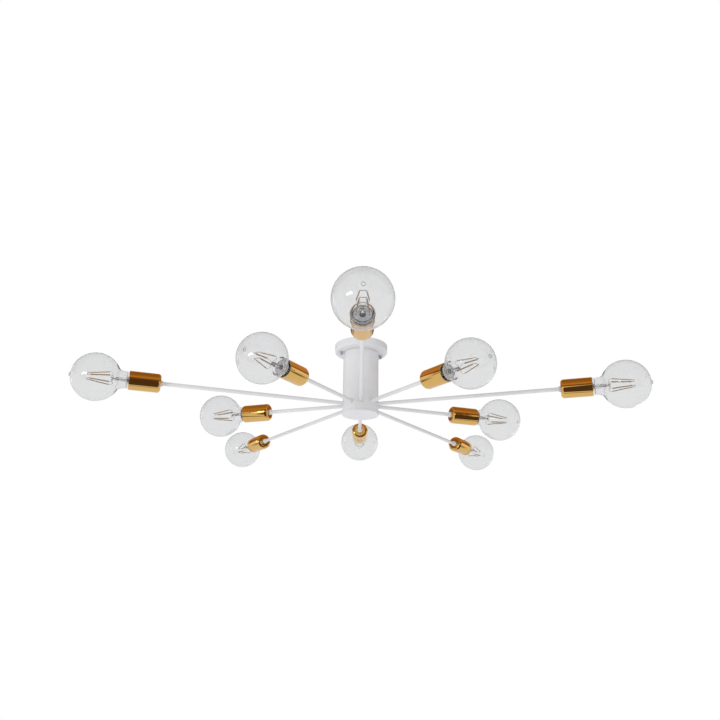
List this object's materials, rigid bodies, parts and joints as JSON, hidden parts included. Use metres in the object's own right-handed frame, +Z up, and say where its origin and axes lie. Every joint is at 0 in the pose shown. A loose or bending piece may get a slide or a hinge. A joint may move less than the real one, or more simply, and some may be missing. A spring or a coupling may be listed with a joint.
{
  "type": "multi arm chandelier",
  "caption": "Semi-flush ceiling light: straight horizontal arms of two lengths radiate from a round column, each ending in a gold socket cup with a clear globe filament lamp.",
  "frame": {"origin": "on the ceiling plane, at the middle of the mounting strap's top face, on the column's axis", "axes": "+Z up into the ceiling along the column's axis; -Y along the front long arm; +X to the right seen from the front"},
  "size_m": [1.1296, 1.0807, 0.1845],
  "materials": {
    "white_paint": "smooth satin white powder coat",
    "gold": "polished gold plating",
    "black_plastic": "black phenolic",
    "nickel": "bright nickel plate",
    "clear_glass": "clear polished glass",
    "chrome": "dark polished chrome",
    "zinc_steel": "zinc plated steel",
    "terminal_plastic": "off-white nylon",
    "wire_sleeve": "white insulation"
  },
  "bodies": {
    "fixture": {"ceiling_strap": "zinc_steel", "canopy": "white_paint", "canopy_nut_right": "chrome", "canopy_nut_left": "chrome", "column_nipple": "zinc_steel", "column": "white_paint", "arm_hub": "zinc_steel", "bottom_cap": "white_paint", "terminal_block": "terminal_plastic", "wiring_harness": "wire_sleeve", "arm_rod_01": "white_paint", "socket_cup_01": "gold", "lampholder_01": "black_plastic", "arm_rod_02": "white_paint", "socket_cup_02": "gold", "lampholder_02": "black_plastic", "arm_rod_03": "white_paint", "socket_cup_03": "gold", "lampholder_03": "black_plastic", "arm_rod_04": "white_paint", "socket_cup_04": "gold", "lampholder_04": "black_plastic", "arm_rod_05": "white_paint", "socket_cup_05": "gold", "lampholder_05": "black_plastic", "arm_rod_06": "white_paint", "socket_cup_06": "gold", "lampholder_06": "black_plastic", "arm_rod_07": "white_paint", "socket_cup_07": "gold", "lampholder_07": "black_plastic", "arm_rod_08": "white_paint", "socket_cup_08": "gold", "lampholder_08": "black_plastic", "arm_rod_09": "white_paint", "socket_cup_09": "gold", "lampholder_09": "black_plastic", "arm_rod_10": "white_paint", "socket_cup_10": "gold", "lampholder_10": "black_plastic"},
    "lamp_01_lift": {"lamp_cap_01": "nickel"},
    "lamp_01": {"lamp_globe_01": "clear_glass"},
    "lamp_02_lift": {"lamp_cap_02": "nickel"},
    "lamp_02": {"lamp_globe_02": "clear_glass"},
    "lamp_03_lift": {"lamp_cap_03": "nickel"},
    "lamp_03": {"lamp_globe_03": "clear_glass"},
    "lamp_04_lift": {"lamp_cap_04": "nickel"},
    "lamp_04": {"lamp_globe_04": "clear_glass"},
    "lamp_05_lift": {"lamp_cap_05": "nickel"},
    "lamp_05": {"lamp_globe_05": "clear_glass"},
    "lamp_06_lift": {"lamp_cap_06": "nickel"},
    "lamp_06": {"lamp_globe_06": "clear_glass"},
    "lamp_07_lift": {"lamp_cap_07": "nickel"},
    "lamp_07": {"lamp_globe_07": "clear_glass"},
    "lamp_08_lift": {"lamp_cap_08": "nickel"},
    "lamp_08": {"lamp_globe_08": "clear_glass"},
    "lamp_09_lift": {"lamp_cap_09": "nickel"},
    "lamp_09": {"lamp_globe_09": "clear_glass"},
    "lamp_10_lift": {"lamp_cap_10": "nickel"},
    "lamp_10": {"lamp_globe_10": "clear_glass"}
  },
  "joints": [
    {"name": "lamp_01_unscrew_travel", "type": "slide", "parent": "fixture", "child": "lamp_01_lift", "axis": [0, -1, 0], "range_m": [0, 0.0182]},
    {"name": "lamp_01_unscrew_turn", "type": "hinge", "parent": "lamp_01_lift", "child": "lamp_01", "pos_m": [0, -0.545, -0.137], "axis": [0, -1, 0], "range_deg": [0, 1800]},
    {"name": "lamp_02_unscrew_travel", "type": "slide", "parent": "fixture", "child": "lamp_02_lift", "axis": [0.5878, -0.809, 0], "range_m": [0, 0.0182]},
    {"name": "lamp_02_unscrew_turn", "type": "hinge", "parent": "lamp_02_lift", "child": "lamp_02", "pos_m": [0.19867, -0.27345, -0.137], "axis": [0.5878, -0.809, 0], "range_deg": [0, 1800]},
    {"name": "lamp_03_unscrew_travel", "type": "slide", "parent": "fixture", "child": "lamp_03_lift", "axis": [0.9511, -0.309, 0], "range_m": [0, 0.0182]},
    {"name": "lamp_03_unscrew_turn", "type": "hinge", "parent": "lamp_03_lift", "child": "lamp_03", "pos_m": [0.51833, -0.16841, -0.137], "axis": [0.9511, -0.309, 0], "range_deg": [0, 1800]},
    {"name": "lamp_04_unscrew_travel", "type": "slide", "parent": "fixture", "child": "lamp_04_lift", "axis": [0.9511, 0.309, 0], "range_m": [0, 0.0182]},
    {"name": "lamp_04_unscrew_turn", "type": "hinge", "parent": "lamp_04_lift", "child": "lamp_04", "pos_m": [0.32146, 0.10445, -0.137], "axis": [0.9511, 0.309, 0], "range_deg": [0, 1800]},
    {"name": "lamp_05_unscrew_travel", "type": "slide", "parent": "fixture", "child": "lamp_05_lift", "axis": [0.5878, 0.809, 0], "range_m": [0, 0.0182]},
    {"name": "lamp_05_unscrew_turn", "type": "hinge", "parent": "lamp_05_lift", "child": "lamp_05", "pos_m": [0.32034, 0.44091, -0.137], "axis": [0.5878, 0.809, 0], "range_deg": [0, 1800]},
    {"name": "lamp_06_unscrew_travel", "type": "slide", "parent": "fixture", "child": "lamp_06_lift", "axis": [0, 1, 0], "range_m": [0, 0.0182]},
    {"name": "lamp_06_unscrew_turn", "type": "hinge", "parent": "lamp_06_lift", "child": "lamp_06", "pos_m": [0, 0.338, -0.137], "axis": [0, 1, 0], "range_deg": [0, 1800]},
    {"name": "lamp_07_unscrew_travel", "type": "slide", "parent": "fixture", "child": "lamp_07_lift", "axis": [-0.5878, 0.809, 0], "range_m": [0, 0.0182]},
    {"name": "lamp_07_unscrew_turn", "type": "hinge", "parent": "lamp_07_lift", "child": "lamp_07", "pos_m": [-0.32034, 0.44091, -0.137], "axis": [-0.5878, 0.809, 0], "range_deg": [0, 1800]},
    {"name": "lamp_08_unscrew_travel", "type": "slide", "parent": "fixture", "child": "lamp_08_lift", "axis": [-0.9511, 0.309, 0], "range_m": [0, 0.0182]},
    {"name": "lamp_08_unscrew_turn", "type": "hinge", "parent": "lamp_08_lift", "child": "lamp_08", "pos_m": [-0.32146, 0.10445, -0.137], "axis": [-0.9511, 0.309, 0], "range_deg": [0, 1800]},
    {"name": "lamp_09_unscrew_travel", "type": "slide", "parent": "fixture", "child": "lamp_09_lift", "axis": [-0.9511, -0.309, 0], "range_m": [0, 0.0182]},
    {"name": "lamp_09_unscrew_turn", "type": "hinge", "parent": "lamp_09_lift", "child": "lamp_09", "pos_m": [-0.51833, -0.16841, -0.137], "axis": [-0.9511, -0.309, 0], "range_deg": [0, 1800]},
    {"name": "lamp_10_unscrew_travel", "type": "slide", "parent": "fixture", "child": "lamp_10_lift", "axis": [-0.5299, -0.848, 0], "range_m": [0, 0.0182]},
    {"name": "lamp_10_unscrew_turn", "type": "hinge", "parent": "lamp_10_lift", "child": "lamp_10", "pos_m": [-0.17911, -0.28664, -0.137], "axis": [-0.5299, -0.848, 0], "range_deg": [0, 1800]}
  ],
  "couplings": [
    {"joint": "lamp_01_unscrew_travel", "follows": "lamp_01_unscrew_turn", "m_per_rad": 0.0005775},
    {"joint": "lamp_02_unscrew_travel", "follows": "lamp_02_unscrew_turn", "m_per_rad": 0.0005775},
    {"joint": "lamp_03_unscrew_travel", "follows": "lamp_03_unscrew_turn", "m_per_rad": 0.0005775},
    {"joint": "lamp_04_unscrew_travel", "follows": "lamp_04_unscrew_turn", "m_per_rad": 0.0005775},
    {"joint": "lamp_05_unscrew_travel", "follows": "lamp_05_unscrew_turn", "m_per_rad": 0.0005775},
    {"joint": "lamp_06_unscrew_travel", "follows": "lamp_06_unscrew_turn", "m_per_rad": 0.0005775},
    {"joint": "lamp_07_unscrew_travel", "follows": "lamp_07_unscrew_turn", "m_per_rad": 0.0005775},
    {"joint": "lamp_08_unscrew_travel", "follows": "lamp_08_unscrew_turn", "m_per_rad": 0.0005775},
    {"joint": "lamp_09_unscrew_travel", "follows": "lamp_09_unscrew_turn", "m_per_rad": 0.0005775},
    {"joint": "lamp_10_unscrew_travel", "follows": "lamp_10_unscrew_turn", "m_per_rad": 0.0005775}
  ]
}
